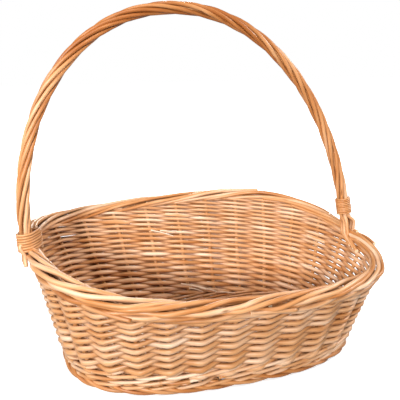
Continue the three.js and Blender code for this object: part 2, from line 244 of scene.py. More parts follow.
def rod(path, radius, across, tone=None, amount=rodShape["unevenness"], facing=None):
    # One rod for sweepRods; facing is 1 where its side across is the open one, -1 where it isn't
    radius = np.broadcast_to(np.asarray(radius, float), len(path))
    return {
        "path": path,
        "radius": roughRadius(path, radius, amount),
        "across": np.broadcast_to(across, path.shape),
        "tone": chance.uniform(0, 1) if tone is None else tone,
        "facing": facing,
    }


def openSide(wave):
    # Facing of a rod that goes over and under: 1 where it is over, -1 where it is under
    return np.clip(rodShape["turnover"] * wave, -1, 1)


def paintedShadeShare(facing, rings, turn):
    # 0 on the open side of a rod, 1 on the side that faces its neighbours, where painted shade darkens it
    if facing is None:
        return np.zeros(rings * len(turn))
    facing = np.broadcast_to(np.asarray(facing, float), rings)
    return (((1 - facing[:, None] * np.cos(turn)) / 2) ** rodShape["paintedShadePower"]).ravel()


def ringPoints(r, turn, height):
    # A ring of points round each point of the path, square to it
    ahead = unit(np.gradient(r["path"], axis=0))
    side = unit(r["across"] - np.sum(r["across"] * ahead, 1, keepdims=True) * ahead)
    over = np.cross(ahead, side)
    ring = side[:, None] * np.cos(turn)[None, :, None]
    ring = ring + over[:, None] * np.sin(turn)[None, :, None] * height
    return (r["path"][:, None] + ring * r["radius"][:, None, None]).reshape(-1, 3)


def grainPlaces(r, turn):
    # Places for the material's noise: across the rod and along it, moved by chance for each rod
    moved = chance.uniform(0, rodShape["grainSpread"], 3)
    across = np.stack([np.cos(turn), np.sin(turn)], -1)[None] * r["radius"][:, None, None]
    along = np.broadcast_to(lengthsAlong(r["path"])[:, None, None], (len(r["path"]), len(turn), 1))
    return (np.concatenate([across, along], -1) + moved).reshape(-1, 3)


def tubeFaces(rings, sides):
    # Four-cornered faces from ring to ring, and a cap on each end
    i, j = np.meshgrid(np.arange(rings - 1), np.arange(sides), indexing="ij")
    k = (j + 1) % sides
    quads = np.stack([i * sides + j, i * sides + k, (i + 1) * sides + k, (i + 1) * sides + j], -1)
    caps = np.stack([np.arange(sides)[::-1], (rings - 1) * sides + np.arange(sides)])
    return quads.reshape(-1, 4), caps


def setAttribute(mesh, name, kind, domain, values):
    field = "vector" if kind == "FLOAT_VECTOR" else "value"
    attribute = mesh.attributes.new(name, kind, domain)
    attribute.data.foreach_set(field, values.astype(np.float32).ravel())


def addObject(name, data):
    made = bpy.data.objects.new(name, data)
    bpy.context.scene.collection.objects.link(made)
    return made


def sweepRods(name, rods, material, nodes, sides=8, height=1.0):
    # One piece for these nodes: a mesh of closed tubes with the values that the material reads
    turn = 2 * math.pi * np.arange(sides) / sides
    points, grain, tone, paintedShadeMask = [], [], [], []
    corners, totals, cut = [], [], []
    first = 0
    for r in rods:
        rings = len(r["path"])
        points.append(ringPoints(r, turn, height))
        grain.append(grainPlaces(r, turn))
        tone.append(np.repeat(np.broadcast_to(r["tone"], rings), sides))
        # The painted shade mask: 1 on the side of a rod that faces its neighbours, where the gaps are
        paintedShadeMask.append(paintedShadeShare(r["facing"], rings, turn))
        quads, caps = tubeFaces(rings, sides)
        corners += [(quads + first).ravel(), (caps + first).ravel()]
        totals += [np.full(len(quads), 4), np.full(len(caps), sides)]
        cut += [np.zeros(len(quads)), np.ones(len(caps))]
        first += rings * sides
    corners, totals, cut = np.concatenate(corners), np.concatenate(totals), np.concatenate(cut)
    mesh = bpy.data.meshes.new(name)
    mesh.vertices.add(first)
    mesh.loops.add(len(corners))
    mesh.polygons.add(len(totals))
    mesh.vertices.foreach_set("co", np.concatenate(points).astype(np.float32).ravel())
    mesh.loops.foreach_set("vertex_index", corners.astype(np.int32))
    mesh.polygons.foreach_set("loop_start", (np.cumsum(totals) - totals).astype(np.int32))
    mesh.polygons.foreach_set("use_smooth", cut == 0)
    mesh.update(calc_edges=True)
    setAttribute(mesh, "grain", "FLOAT_VECTOR", "POINT", np.concatenate(grain))
    setAttribute(mesh, "tone", "FLOAT", "POINT", np.concatenate(tone))
    setAttribute(mesh, "paintedShadeMask", "FLOAT", "POINT", np.concatenate(paintedShadeMask))
    setAttribute(mesh, "cut", "FLOAT", "FACE", cut)
    mesh.validate()
    mesh.materials.append(material)
    piece = addObject(name, mesh)
    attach(piece, "root")
    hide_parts(*nodes)


# Materials


def linear(hexColour):
    channels = [int(hexColour[i:i + 2], 16) / 255 for i in (1, 3, 5)]
    return [c / 12.92 if c <= 0.04045 else ((c + 0.055) / 1.055) ** 2.4 for c in channels] + [1.0]


def setInputs(tree, node, inputs):
    # An input given as a socket is linked, any other is set as a constant
    for name, value in inputs.items():
        if isinstance(value, bpy.types.NodeSocket):
            tree.links.new(value, node.inputs[name])
        else:
            node.inputs[name].default_value = value


def addNode(tree, kind, inputs=None, **settings):
    node = tree.nodes.new(kind)
    for name, value in settings.items():
        setattr(node, name, value)
    setInputs(tree, node, inputs or {})
    return node


def calculated(tree, operation, *terms):
    return addNode(tree, "ShaderNodeMath", dict(enumerate(terms)), operation=operation).outputs[0]


def mixedColour(tree, share, first, second):
    inputs = {"Factor": share, "A": first, "B": second}
    return addNode(tree, "ShaderNodeMix", inputs, data_type="RGBA").outputs["Result"]


def ranged(tree, value, start, end, first=0.0, last=1.0):
    # Goes from start to end as the value goes from first to last
    inputs = {"Value": value, "From Min": first, "From Max": last, "To Min": start, "To Max": end}
    return addNode(tree, "ShaderNodeMapRange", inputs).outputs[0]


def attributeValue(tree, name, output="Fac"):
    return addNode(tree, "ShaderNodeAttribute", attribute_name=name).outputs[output]


def stretched(tree, grain, perMetre):
    return addNode(tree, "ShaderNodeMapping", {"Vector": grain, "Scale": perMetre}).outputs[0]


def noise(tree, grain, perMetre, detail):
    inputs = {"Vector": stretched(tree, grain, perMetre), "Scale": 1.0, "Detail": detail}
    return addNode(tree, "ShaderNodeTexNoise", inputs).outputs["Fac"]


def setRamp(node, stops):
    elements = node.color_ramp.elements
    while len(elements) > 1:
        elements.remove(elements[-1])
    for i, (position, colour) in enumerate(stops):
        element = elements[0] if i == 0 else elements.new(position)
        element.position = position
        element.color = linear(colour)


# Buff willow is boiled and stripped: satin skin, fine lengthwise streaks, small bud scars,
# and a colour that goes from straw to honey from rod to rod and slowly along each rod.
willowLook = {
    "tones": [(0.0, "#A8622C"), (0.25, "#C28048"), (0.5, "#D89F6C"), (0.75, "#E8BC96"), (1.0, "#F4DABE")],
    "rodToRod": 0.42,  # how much the rod's own tone moves the colour along the tones
    "patches": 1.1,  # and the slow patches
    "patchesFrom": -0.42,
    "streaks": 0.5,  # and the fine streaks
    "streaksFrom": -0.06,
    "patchPerMetre": (60, 60, 16),  # patches of tone about 60 mm long
    "streakPerMetre": (900, 900, 26),  # streaks about 1 mm wide and 40 mm long
    "scarPerMetre": (90, 90, 22),
    "scarEdge": (0.05, 0.16),  # in cells, where a bud scar starts to fade and where it ends
    "scarStrength": 0.7,
    "scarColour": "#7A4520",
    # Painted shade: how much and in what colour the side of a rod that faces its neighbours is darkened
    "paintedShade": 0.74,
    "paintedShadeColour": "#743A10",
    "cutColour": "#F3DDB8",
    "roughness": (0.30, 0.52),
    "bumpHeight": 0.00012,
    "bumpStrength": 0.6,
    "refraction": 1.45,
}

# The stakes are of unsorted rods, more orange, so that they stand out between the weaving
stakeLook = {
    **willowLook,
    "tones": [(0.0, "#A8602A"), (0.4, "#C88850"), (0.7, "#DAA06A"), (1.0, "#E8BA8C")],
}


def skinColour(tree, look, shift, grain, streak):
    # Tone of the rod, moved by the slow patches and the fine streaks
    patch = noise(tree, grain, look["patchPerMetre"], 2.0)
    patched = calculated(tree, "MULTIPLY_ADD", patch, look["patches"], shift + look["patchesFrom"])
    tone = attributeValue(tree, "tone")
    rodTone = calculated(tree, "MULTIPLY_ADD", tone, look["rodToRod"], patched)
    streaked = calculated(tree, "MULTIPLY_ADD", streak, look["streaks"], look["streaksFrom"])
    ramp = addNode(tree, "ShaderNodeValToRGB", {"Fac": calculated(tree, "ADD", rodTone, streaked)})
    setRamp(ramp, look["tones"])
    return ramp.outputs["Color"]


def scarShare(tree, look, grain):
    # Small dark spots where the buds sat
    inputs = {"Vector": stretched(tree, grain, look["scarPerMetre"]), "Scale": 1.0}
    cell = addNode(tree, "ShaderNodeTexVoronoi", inputs).outputs["Distance"]
    return ranged(tree, cell, look["scarStrength"], 0.0, *look["scarEdge"])


def buffWillow(name, shift=0.0, look=willowLook):
    material = bpy.data.materials.new(name)
    material.use_nodes = True
    tree = material.node_tree
    grain = attributeValue(tree, "grain", "Vector")
    streak = noise(tree, grain, look["streakPerMetre"], 3.0)
    colour = skinColour(tree, look, shift, grain, streak)
    colour = mixedColour(tree, scarShare(tree, look, grain), colour, linear(look["scarColour"]))
    # Painted shade darkens the side of a rod that faces its neighbours, standing in for the shade in the
    # gaps
    paintedShade = calculated(tree, "MULTIPLY", attributeValue(tree, "paintedShadeMask"), look["paintedShade"])
    colour = mixedColour(tree, paintedShade, colour, linear(look["paintedShadeColour"]))
    # Cut ends show the pale wood
    colour = mixedColour(tree, attributeValue(tree, "cut"), colour, linear(look["cutColour"]))
    bump = {"Height": streak, "Strength": look["bumpStrength"], "Distance": look["bumpHeight"]}
    setInputs(tree, tree.nodes["Principled BSDF"], {
        "Base Color": colour,
        "Roughness": ranged(tree, streak, *look["roughness"]),
        "Normal": addNode(tree, "ShaderNodeBump", bump).outputs[0],
        "IOR": look["refraction"],
    })
    return material


sidingWillow = buffWillow("buff willow siding", 0.05)
borderWillow = buffWillow("buff willow border", -0.03)
stakeWillow = buffWillow("buff willow stakes", 0.0, stakeLook)
handleWillow = buffWillow("buff willow handle", -0.03)
baseWillow = buffWillow("buff willow base", -0.05)
# The foot's copy of the willow is painted much darker than the rest: painted shade low on the basket, by
# the floor
footWillowPaintedShade = buffWillow("buff willow foot painted darker for shade", -0.30)
lashingWillow = buffWillow("brown willow lashing", -0.15)
print("materials made")

# Siding: French randing. Each rod goes in front of one stake and behind the next, and climbs
# one row from stake to stake. The rods start with their thick ends, so the rows get thinner.
siding = {
    "bottom": 0.0512,
    "buttPitch": 0.0059,  # from row to row at the bottom
    "tipPitch": 0.0030,  # which the pitch sinks towards
    "taperRows": 24,  # in which the rest of it falls to about a third
    "frontSpread": 0.12,  # share by which rows are higher at the front
    "halfThickness": 0.46,  # of a rod, as a share of the pitch
    "slimming": (1.05, 0.10),  # of that at the thick end, and its loss on the way
    "unevenness": (0.95, 1.09),  # thinnest and thickest rod, over the mean
    "tallness": 1.28,  # pressed together, they are higher than thick
    "sharpness": 0.99,  # how straight they run from stake to stake
    "closeness": 0.95,  # how tightly they bend round the stakes
    "swelling": 0.27,  # by which they are fuller at the stakes
    "wander": 0.0002,  # up and down from its row, in two slow waves
    "wanderTurns": (2.1, 0.9),  # in radians from row to row
    "startRow": (-4.3, 2.5),  # first row of the rods: mean and front-to-back wave
    "lastRow": 44,
    "rodRows": 26,  # rows a rod climbs before the next takes over
    "rodPairsSpread": 3,  # pairs of rows more or fewer, at random
    "overlap": 0.4,  # in rows
    "tuck": 0.0012,  # its start lies lower and its end higher, clear of the next rod
    "tuckFrom": 0.6,  # in rows from its ends
    "leastHeight": 0.024,  # below which the upsett hides them
    "rimOverlap": 0.008,  # up into the border
    "stepsPerStake": 10,
    "straightness": 1.0,
    "tones": (0.2, 0.8),
}


def frontShare(number):
    return 1 + siding["frontSpread"] * frontness(number)


def rowPitch(row, number):
    # The pitch falls off exponentially with the rows
    extra = siding["buttPitch"] - siding["tipPitch"]
    return (siding["tipPitch"] + extra * np.exp(-row / siding["taperRows"])) * frontShare(number)


def rowHeight(row, number):
    # Height over the ground: the sum of the pitches below
    extra = siding["buttPitch"] - siding["tipPitch"]
    taper = siding["taperRows"]
    rise = siding["tipPitch"] * row + extra * taper * (1 - np.exp(-row / taper))
    return siding["bottom"] + rise * frontShare(number)


def woven(turn, sharpness):
    # A wave with straight flanks and rounded tops
    return np.arcsin(sharpness * np.cos(turn)) / math.asin(sharpness)


def heldRuns(holds):
    # Start and end of each unbroken stretch of true values
    edges = np.flatnonzero(np.diff(np.concatenate([[0], holds.astype(int), [0]])))
    return edges.reshape(-1, 2)


def sidingHeight(row, number, low, high, isFirst):
    atEnd = np.clip(row - high + siding["tuckFrom"], 0, 1)
    atStart = np.clip(low + siding["tuckFrom"] - row, 0, 1) * (not isFirst)
    wander = sum(np.sin(turn * row + randomPhase()) for turn in siding["wanderTurns"])
    return rowHeight(row, number) + siding["tuck"] * (atEnd - atStart) + siding["wander"] * wander


def sidingRod(k, low, high, isFirst):
    # One rod from row low to row high; k is the stake under its row 0
    steps = (high - low + 1) * siding["stepsPerStake"]
    row = np.linspace(low - siding["overlap"], high + siding["overlap"], steps)
    number = row + k
    z = sidingHeight(row, number, low, high, isFirst)
    wave = woven(math.pi * row, siding["sharpness"])
    butt, loss = siding["slimming"]
    slimmed = butt - loss * (row - low) / siding["rodRows"]
    radius = siding["halfThickness"] * rowPitch(row, number) * slimmed
    radius = radius * chance.uniform(*siding["unevenness"]) * (1 + siding["swelling"] * np.abs(wave))
    out = -siding["closeness"] * (stake["radius"] + radius) * wave
    tone = chance.uniform(*siding["tones"])
    facing = openSide(-wave)
    isOnWall = (z >= siding["leastHeight"]) & (z <= wallTop(number) + siding["rimOverlap"])
    pieces = []
    for start, end in heldRuns(isOnWall):
        if end - start >= siding["stepsPerStake"]:
            part = slice(start, end)
            path = besideWall(number[part], z[part], out[part], siding["straightness"])
            across = wallOut(number[part], z[part])
            pieces.append(rod(softened(path, 1), radius[part], across, tone, facing=facing[part]))
    return pieces


# Splints: some rods have split inside, and their thin pale splints stand off the back wall
splint = {
    "ends": (  # stake and height of the start and of the end of each
        ((21.3, 0.046), (20.3, 0.031)), ((20.9, 0.041), (19.9, 0.026)),
        ((21.0, 0.037), (20.5, 0.029)), ((20.0, 0.026), (19.2, 0.023)),
        ((22.0, 0.139), (21.3, 0.126)), ((21.7, 0.137), (21.2, 0.132)),
    ),
    "steps": 12,
    "radius": 0.0011,
    "thinning": 0.5,
    "distance": 0.0088,  # from the wall's line
    "endDistance": 0.002,  # more at its end
    "bulge": 0.001,
    "tone": 1.7,  # paler than all the rods
}


def splintRods():
    rods = []
    for first, last in splint["ends"]:
        share = np.linspace(0, 1, splint["steps"])
        number = first[0] + (last[0] - first[0]) * share
        z = first[1] + (last[1] - first[1]) * share + splint["bulge"] * np.sin(math.pi * share)
        path = besideWall(number, z, -splint["distance"] - splint["endDistance"] * share ** 2)
        radius = splint["radius"] * (1 - splint["thinning"] * share)
        rods.append(rod(path, radius, wallOut(number, z), splint["tone"], facing=-1))
    return rods


def makeSiding():
    rods = splintRods()
    mean, wave = siding["startRow"]
    spread = siding["rodPairsSpread"]
    for k in range(stake["count"]):
        start = round(mean + wave * frontness(k))
        high = start
        while high < siding["lastRow"]:
            low = high
            high = low + siding["rodRows"] + 2 * chance.integers(-spread, spread + 1)
            rods += sidingRod(k, low, high, low == start)
    courses = [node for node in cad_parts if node.startswith("siding_course")]
    sweepRods("siding_rods", rods, sidingWillow, courses, height=siding["tallness"])


makeSiding()
print("siding woven")

# Upsett: three-rod wale. Each rod goes in front of two stakes, low at the first and high at
# the second, and behind one. Three rods, one stake apart, make each round.
wale = {
    "bottom": 0.0144,
    "roundPitch": (0.0078, 0.0030),  # mean, and the wave from front to back
    "rounds": 3,
    "roundStart": 5,  # in stakes, from one round's start to the next
    "strands": 3,
    "rodsPerStrand": 3,  # laid end to end in each round
    "overlap": 0.4,  # in stakes
    "rodRadius": (0.0026, 0.0002),  # mean and wave too
    "lift": 0.0031,  # up from the strand's middle height
    "reach": 0.0066,  # from the wall's line
    "outerPull": 4,  # with the steepness, how much longer it stays outside
    "steepness": 1.3,
    "stepsPerStake": 9,
    "straightness": 0.9,
}


def waleRod(level, strand, first, last):
    steps = int((last - first + 2 * wale["overlap"]) * wale["stepsPerStake"])
    number = np.linspace(first - wale["overlap"], last + wale["overlap"], steps)
    # One turn in three stakes: outside at two of them, inside at the third
    turn = 2 * math.pi * (number - strand - wale["strands"] / 2) / wale["strands"]
    pitch = wale["roundPitch"][0] + wale["roundPitch"][1] * frontness(number)
    z = wale["bottom"] + pitch * level + wale["lift"] * np.sin(turn)
    pull = (1 + wale["outerPull"] * np.cos(turn)) / 3
    out = wale["reach"] * np.tanh(wale["steepness"] * pull)
    path = softened(besideWall(number, z, out, wale["straightness"]), 1)
    radius = wale["rodRadius"][0] + wale["rodRadius"][1] * frontness(number)
    return rod(path, radius, wallOut(number, z), facing=openSide(out / wale["reach"]))


def makeWale():
    rods = []
    for level in range(wale["rounds"]):
        for strand in range(wale["strands"]):
            start = strand + wale["roundStart"] * level
            ends = np.linspace(start, start + stake["count"], wale["rodsPerStrand"] + 1)
            rods += [waleRod(level, strand, *pair) for pair in zip(ends[:-1], ends[1:])]
    nodes = ["upsett_wale_01", "upsett_wale_02"]
    sweepRods("upsett_wale_rods", rods, sidingWillow, nodes)


makeWale()
print("upsett woven")


def makeStakes():
    # One upright rod per stake, leaning out with the wall and wandering a little
    for k in range(stake["count"]):
        share = np.linspace(0, 1, stake["stations"])
        top = wallTop(float(k)) + border["half"][1] * stake["topShare"]
        z = stake["bottom"] + (top - stake["bottom"]) * share
        wander = stake["wander"] * np.sin(stake["wanderTurn"] * share + randomPhase())
        number = float(k) + wander / stake["spacing"]
        path = wallPoint(number, z, 0.0)
        label = f"{k + 1:02d}"
        upright = [rod(path, stake["radius"], wallOut(number, z))]
        nodes = [f"side_stake_{label}"]
        sweepRods(f"stake_rod_{label}", upright, stakeWillow, nodes)


makeStakes()
print("stakes set")

# Rim border: each stake's end is laid down to the side, outside its neighbours, and rolls
# over the top to the inside, so that about eight lie side by side.
rimRoll = {
    "radius": 0.0033,
    "radiusSpread": (0.92, 1.08),  # thinnest and thickest rod, over the mean
    "taper": (1.08, 0.03),  # of the radius at a rod's start, and its loss with each stake
    "unevenness": 0.05,
    "thickening": 0.7,  # how much of the border's swelling its rods follow
    "fullness": (1.20, 1.38),  # of width and height, over half the border less a rod
    "degrees": (-88, -58, -28, 8, 46, 86, 130, 175, 225, 272),  # at each stake passed
    "jitter": 11.0,  # of the degrees, at random
    "heave": 0.09,  # of the distance to the middle, at random
    "sinking": 0.022,  # towards the middle with each stake passed
    # Stakes passed and share of the distance to the middle: each rod dips once
    "dips": ((0.0, 1.0), (1.5, 1.0), (2.1, 0.45), (2.5, 0.45), (3.0, 1.14), (3.8, 1.1), (9.0, 1.0)),
    "length": 8.2,  # in stakes
    "lengthSpread": 0.3,
    "stepsPerStake": 12,
    "straightness": 0.35,
    "sides": 10,
    # The handle's feet draw the border in: stake, strength and length in stakes of each pinch
    "pinches": ((0.0, 1.0, 0.6), (14.74, 0.6, 0.5)),
    "pinchNarrowing": 0.28,  # of the width, at the full pinch
    "pinchFlattening": 0.25,  # and of the height
    "pinchShift": 0.0015,  # inwards
    "pinchDrop": 0.004,  # and down
}


def pinch(number):
    half = stake["count"] / 2
    drawn = np.zeros(np.shape(number))
    for at, strength, length in rimRoll["pinches"]:
        away = (np.asarray(number) - at + half) % (2 * half) - half
        drawn = drawn + strength * np.exp(-(away / length) ** 2)
    return drawn


def borderPlace(number, half, turn, straightness):
    # Place at an angle round the rim border's section, and the direction from its middle
    drawn = pinch(number)
    height = rimHeight(stakeAngle(number))
    out, rise = half[0] * np.cos(turn), half[1] * np.sin(turn)
    out = out * (1 - rimRoll["pinchNarrowing"] * drawn) - rimRoll["pinchShift"] * drawn
    rise = rise * (1 - rimRoll["pinchFlattening"] * drawn) - rimRoll["pinchDrop"] * drawn
    spot = wallPoint(number, height, out, straightness) + rise[:, None] * up
    return spot, around(turn, wallOut(number, height), up)


def shaken(passed, stakes, values, amount):
    # Values along a rod, given at the stakes that it passes and moved by chance at each
    moved = values + chance.normal(0, amount, len(values))
    return softened(np.interp(passed, stakes, moved), 5)


def rollRadius(roll, passed):
    thick, loss = roll["taper"]
    return roll["radius"] * (thick - loss * passed) * chance.uniform(*roll["radiusSpread"])


# Ends that stand out of the border: rods laid in afterwards, which lift off it towards the cut
standing = {
    # Stake where each ends, the way it points (1 is on round the front) and its degrees
    "ends": (
        (19.1, -1, 95), (18.2, -1, 100), (13.6, -1, 35),
        (14.4, -1, 60), (4.1, 1, -45), (8.6, 1, -30),
    ),
    "length": 1.3,  # in stakes
    "steps": 16,
    "distance": (0.8, 0.4),  # from the middle at the start, and further at the cut
    "radiusShare": 0.85,  # of the border's rods
    "straightness": 0.3,
}


def standingRod(end, direction, degrees):
    share = np.linspace(0, 1, standing["steps"])
    number = end - direction * standing["length"] * (1 - share)
    turn = np.full(len(share), math.radians(degrees))
    near, further = standing["distance"]
    half = borderHalf(number) * (near + further * share)
    path, out = borderPlace(number, half, turn, standing["straightness"])
    return rod(path, standing["radiusShare"] * rimRoll["radius"], out, facing=1)


def rimRod(k):
    # The rod of one stake, from where it is laid down
    degrees = np.array(rimRoll["degrees"], float)
    stakes = np.arange(len(degrees))
    length = rimRoll["length"] + chance.uniform(-rimRoll["lengthSpread"], rimRoll["lengthSpread"])
    passed = np.linspace(0, length, int(length * rimRoll["stepsPerStake"]))
    number = k + passed
    turn = np.radians(shaken(passed, stakes, degrees, rimRoll["jitter"]))
    heave = shaken(passed, stakes, np.zeros(len(stakes)), rimRoll["heave"])
    radius = rollRadius(rimRoll, passed)
    radius = radius * np.maximum(1, 1 + rimRoll["thickening"] * (borderScale(number) - 1))
    dip = softened(np.interp(passed, *np.array(rimRoll["dips"]).T), 3)
    distance = (1 - rimRoll["sinking"] * passed + heave) * dip
    half = (borderHalf(number) - radius) * np.array(rimRoll["fullness"])[:, None] * distance
    path, out = borderPlace(number, half, turn, rimRoll["straightness"])
    return rod(softened(path, 2), radius, out, amount=rimRoll["unevenness"], facing=1)


def makeRimRoll():
    rods = [standingRod(*end) for end in standing["ends"]]
    rods += [rimRod(k) for k in range(stake["count"])]
    sweepRods("rim_roll", rods, borderWillow, ["rim_border"], rimRoll["sides"])


makeRimRoll()
print("rim border rolled")

# Foot border: thick rod ends come down outside the wall and roll under it
footRoll = {
    "radius": 0.0035,
    "radiusSpread": (0.93, 1.05),
    "taper": (1.04, 0.07),
    "unevenness": 0.05,
    "half": (0.0120, 0.0085),
    # Stakes passed and angle round the border, in degrees
    "keys": ((0.0, 105), (0.45, 62), (1.0, 20), (1.7, -32), (2.3, -80), (3.0, -140), (3.5, -175)),
    "jitter": 13.0,
    "stepsPerStake": 9,
    "straightness": 0.2,
    "sides": 10,
}


def footRod(k):
    stakes, degrees = np.array(footRoll["keys"], float).T
    passed = np.linspace(stakes[0], stakes[-1], int(stakes[-1] * footRoll["stepsPerStake"]))
    number = k + passed
    turn = np.radians(shaken(passed, stakes, degrees, footRoll["jitter"]))
    radius = rollRadius(footRoll, passed)
    half = np.array(footRoll["half"])[:, None] - radius
    middle = footRoll["half"][1]
    path = wallPoint(number, middle, half[0] * np.cos(turn), footRoll["straightness"])
    path = softened(path + (half[1] * np.sin(turn))[:, None] * up, 2)
    out = around(turn, wallOut(number, middle), up)
    return rod(path, radius, out, amount=footRoll["unevenness"], facing=1)


def makeFootRoll():
    rods = [footRod(k) for k in range(stake["count"])]
    sweepRods("foot_roll", rods, footWillowPaintedShade, ["foot_border"], footRoll["sides"])


makeFootRoll()
print("foot border rolled")

# Base: rounds of weaving about a middle line, over and under the sticks
base = {
    "level": 0.0135,  # height of the sticks' middles
    "outlineHeight": 0.021,  # where the wall's outline is taken
    "edge": 0.0045,  # in from that outline
    "spineHalf": 0.077,  # half the length of the middle line
    "longRadius": 0.002,
    "crossRadius": 0.0035,
    "crossCount": 5,
    "crossSpacing": 0.036,
    "endSticks": 7,  # fanned out at each end
    "endStickShares": (0.25, 0.97),  # of the way to the edge, where they start and end
    "endStickSteps": 8,
    "stickSteps": 30,
    "stickSides": 10,
    "stickUnevenness": 0.04,
    "weaveRadius": 0.0023,
    "weaveUnevenness": 0.12,
    "rounds": 30,
    "roundShares": (0.03, 0.96),  # of the way to the edge: the first round's start, and the rest
    "liftShares": (0.75, 0.6),  # of the stick's and the weaver's radius, over and under
    "sharpness": 0.9,
    "stepsPerStick": 9,
    "fineAngles": 4001,
    "frontAngles": slice(400, 1600),  # those at the front, between the corners
}
baseMiddle = np.array([originX, originY]) + np.array(wall["baseShift"])


def basePoint(angle, share, z):
    # From the spine, a straight piece of the long axis, out to the wall's outline
    height = np.full(np.shape(angle), base["outlineHeight"])
    edge = outlinePoint(angle, height) - outwardNormal(angle, height) * base["edge"]
    x = np.clip(edge[..., 0] - baseMiddle[0], -base["spineHalf"], base["spineHalf"]) + baseMiddle[0]
    spine = np.stack([x, np.full(np.shape(x), baseMiddle[1])], -1)
    flat = spine + (edge - spine) * np.asarray(share)[..., None]
    return np.concatenate([flat, np.broadcast_to(z, flat.shape[:-1])[..., None]], -1)


def stickAngles():
    # Angles where the weaving passes a stick, and those of the end sticks alone
    fine = np.linspace(-math.pi, math.pi, base["fineAngles"])
    edge = basePoint(fine, np.ones(len(fine)), 0.0)[:, 0]
    offsets = (np.arange(base["crossCount"]) - base["crossCount"] // 2) * base["crossSpacing"]
    atFront = base["frontAngles"]
    atBack = fine > 0
    front = np.interp(baseMiddle[0] + offsets, edge[atFront], fine[atFront])
    # The angles at the back run from right to left, so the lengths are negated
    back = np.interp(-(baseMiddle[0] + offsets), -edge[atBack], fine[atBack])
    right = np.linspace(front[-1], back[-1], base["endSticks"] + 2)[1:-1]
    left = np.linspace(back[0], front[0] + 2 * math.pi, base["endSticks"] + 2)[1:-1]
    return np.concatenate([front, right, back[::-1], left]), np.concatenate([right, left])


def weaverRod(i, angles):
    # One round, over and under the sticks, that ends one round further out
    count = len(angles)
    passes = np.linspace(0, count, count * base["stepsPerStick"] + 1)
    wrapped = np.concatenate([angles, [angles[0] + 2 * math.pi]])
    angle = np.interp(passes, np.arange(count + 1), wrapped)
    inner, rest = base["roundShares"]
    share = inner + rest * (i + passes / count) / base["rounds"]
    ofStick, ofWeaver = base["liftShares"]
    highest = base["crossRadius"] * ofStick + base["weaveRadius"] * ofWeaver
    lift = highest * woven(math.pi * (passes + i), base["sharpness"])
    path = softened(basePoint(angle, share, base["level"] + lift), 1)
    facing = openSide(lift / base["crossRadius"])
    return rod(path, base["weaveRadius"], up, amount=base["weaveUnevenness"], facing=facing)


def endStick(angle):
    share = np.linspace(*base["endStickShares"], base["endStickSteps"])
    path = basePoint(np.full(len(share), angle), share, base["level"])
    return rod(path, base["longRadius"], up)


def makeStick(node):
    low, high = (np.array(corner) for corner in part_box(node))
    isLong = "long" in node
    middle, half = (low + high) / 2, (high - low) / 2
    axis = np.array([1.0, 0, 0]) if isLong else np.array([0, 1.0, 0])
    path = middle + axis * half * np.linspace(-1, 1, base["stickSteps"])[:, None]
    radius = base["longRadius"] if isLong else base["crossRadius"]
    rods = [rod(path, radius, up, amount=base["stickUnevenness"])]
    name = node.replace("base_", "willow_")
    sweepRods(name, rods, baseWillow, [node], base["stickSides"])


def makeBase():
    allAngles, endAngles = stickAngles()
    rods = [weaverRod(i, allAngles) for i in range(base["rounds"])]
    rods += [endStick(angle) for angle in endAngles]
    sweepRods("base_weaving", rods, baseWillow, ["base_weave"])
    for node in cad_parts:
        if node.startswith("base_") and "stick" in node:
            makeStick(node)


makeBase()
print("base woven")

# Bow handle: a superellipse arch from border to border, pulled to the left and to the back
bow = {
    "topHeight": 0.513,
    "squareness": 2.08,
    "skew": -0.036,  # of its top, to the left
    "lean": 0.009,  # and to the back
    "archStations": 2001,
    "rodRadius": 0.0030,
    "rodRing": 0.0063,  # from the handle's middle to the rods'
    "rodCount": 6,
    "turns": 4,
    "sway": 0.12,  # in radians
    "swayPerMetre": 21,
    "stepsPerTurn": 45,
    "keptStep": 5,  # every fifth of these shapes the curve
    "curveSteps": 460,
    "tailSteps": 20,  # about how many are in each tail
    "unevenness": 0.06,
    "sides": 10,
    "coreRadius": 0.0036,
    "coreInset": 0.012,
    "coreSteps": 200,
    "tones": (0.1, 0.9),
    "topShadeFrom": 0.20,  # height from which it is painted darker, as painted shade
    "topShade": 0.8,  # tone lost at the top, as painted shade
    # Each foot: its stake and distance from the wall's line, where the twist starts, the heights
    # between which the tails join it, how far those inside hang down and those outside press into
    # the border, and how many stakes those inside drift to the left, at each point from the lowest
    "left": {
        "at": 0.02, "out": 0.006, "twistStart": 0.020, "join": (0.005, 0.0115),
        "insideTail": 0.046, "press": 0.0,
        "drift": (0.0, 0.0, 0.0, 0.0, 0.0, 0.0),
    },
    "right": {
        "at": 14.74, "out": -0.005, "twistStart": 0.030, "join": (0.010, 0.020),
        "insideTail": 0.009, "press": 0.0085,
        "drift": (0.75, 0.42, 0.24, 0.12, 0.04, 0.0),
    },
    "outsideTail": 0.015,
    "shortTail": 0.025,  # up to which a tail stays beside the border
    "tailSpread": 0.0066,  # from one tail to the next
    "tailHeights": (-1.0, -0.6, -0.3, 0.0),  # of the points under the rim, as shares of the tail
    "coreShares": (0.0, 0.0, 0.0, 0.0, 0.55, 0.95),  # how near each point is to the handle
    "spreadShares": (1.5, 1.2, 1.0, 1.0, 1.0, 0.9),  # how far the tails lie apart at each
    "borderGap": 0.6,  # from the border to a tail's middle, in its radius
    "coreGap": 0.0005,
    "sidingReach": 0.0067,  # from the wall's line to the siding's face
}
wallFlare = (wall["rimHalf"][0] - wall["baseHalf"][0]) / wall["flareHeight"]


def rimPoint(number, out):
    return wallPoint(number, rimHeight(stakeAngle(number)), out)


